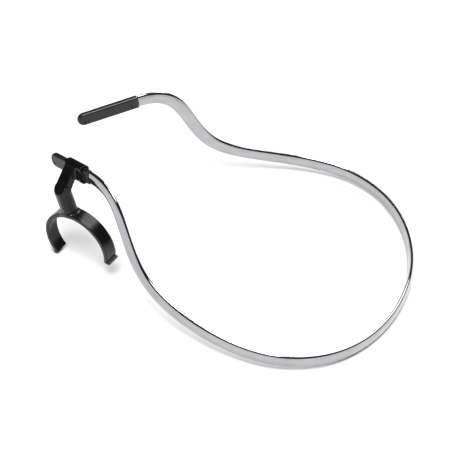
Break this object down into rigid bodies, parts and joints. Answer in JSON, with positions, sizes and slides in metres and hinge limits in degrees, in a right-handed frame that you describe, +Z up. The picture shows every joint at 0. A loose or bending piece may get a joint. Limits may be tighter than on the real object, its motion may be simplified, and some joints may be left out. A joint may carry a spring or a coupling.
{
  "type": "behind-the-neck headset neckband",
  "caption": "Flat spring-steel loop worn behind the neck, with soft end sleeves and a sliding clip whose arm ends in a snap ring for an earpiece.",
  "frame": {"origin": "on the surface it stands on, under the centre of the whole object's box", "axes": "+X the wearer's right, +Y forward from the nape to the sleeve tips, +Z up"},
  "size_m": [0.1454, 0.1722, 0.0554],
  "materials": {
    "band": "mirror-polished bright metal on flat spring steel with rounded edges",
    "sleeve": "satin dark grey soft moulding",
    "clip": "semi-gloss black injection moulding"
  },
  "bodies": {
    "neckband": {"spring_band": "band", "left_sleeve": "sleeve", "right_sleeve": "sleeve"},
    "clip": {"earpiece_clip": "clip"}
  },
  "joints": [
    {"name": "clip_slide", "type": "slide", "parent": "neckband", "child": "clip", "axis": [0.5364, 0.8129, -0.2266], "range_m": [-0.004, 0.01]}
  ]
}
